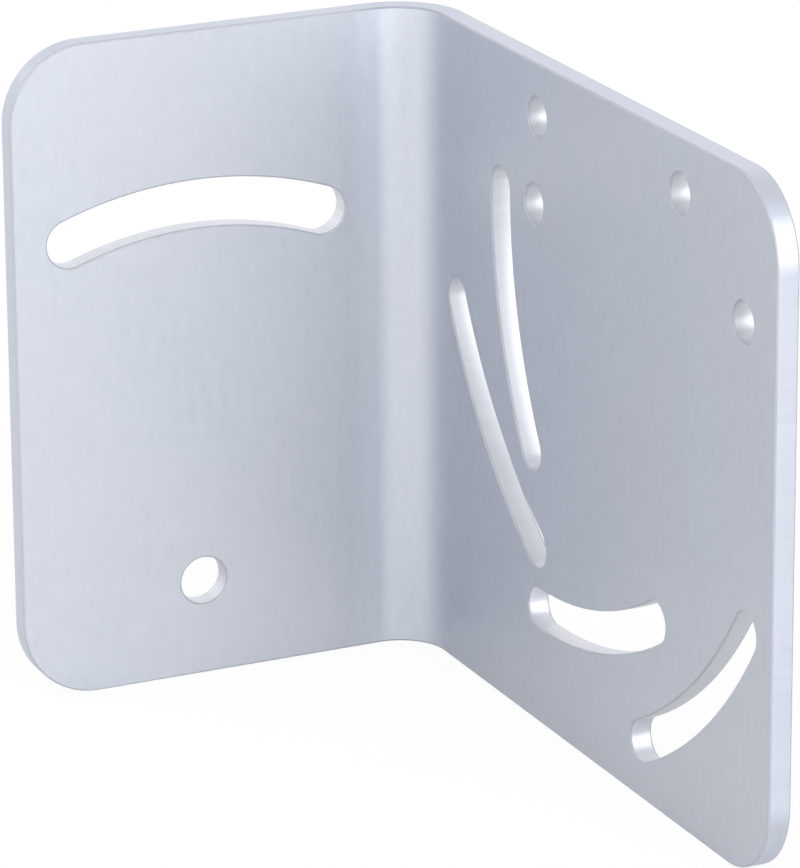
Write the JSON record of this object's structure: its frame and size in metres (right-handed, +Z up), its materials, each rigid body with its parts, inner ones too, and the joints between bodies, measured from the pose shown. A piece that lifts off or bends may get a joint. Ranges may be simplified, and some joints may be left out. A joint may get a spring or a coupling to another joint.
{
  "type": "sensor mounting bracket",
  "caption": "Right-angle sheet-metal bracket with a pivot hole and swing slot in one leaf, and sensor holes with concentric arc slots in the other, for aiming a sensor.",
  "frame": {"origin": "on the plane that the bottom edges stand on, below the middle of the bounding box", "axes": "+Z up along the fold; +Y is the outward normal of the mounting leaf, which runs towards -X from the fold; +X is the outward normal of the sensor leaf, which runs towards -Y from the fold"},
  "size_m": [0.0602, 0.1, 0.0876],
  "materials": {
    "sheet": "satin, bare, pale blue-grey"
  },
  "bodies": {
    "root": {"bracket": "sheet"}
  },
  "joints": []
}
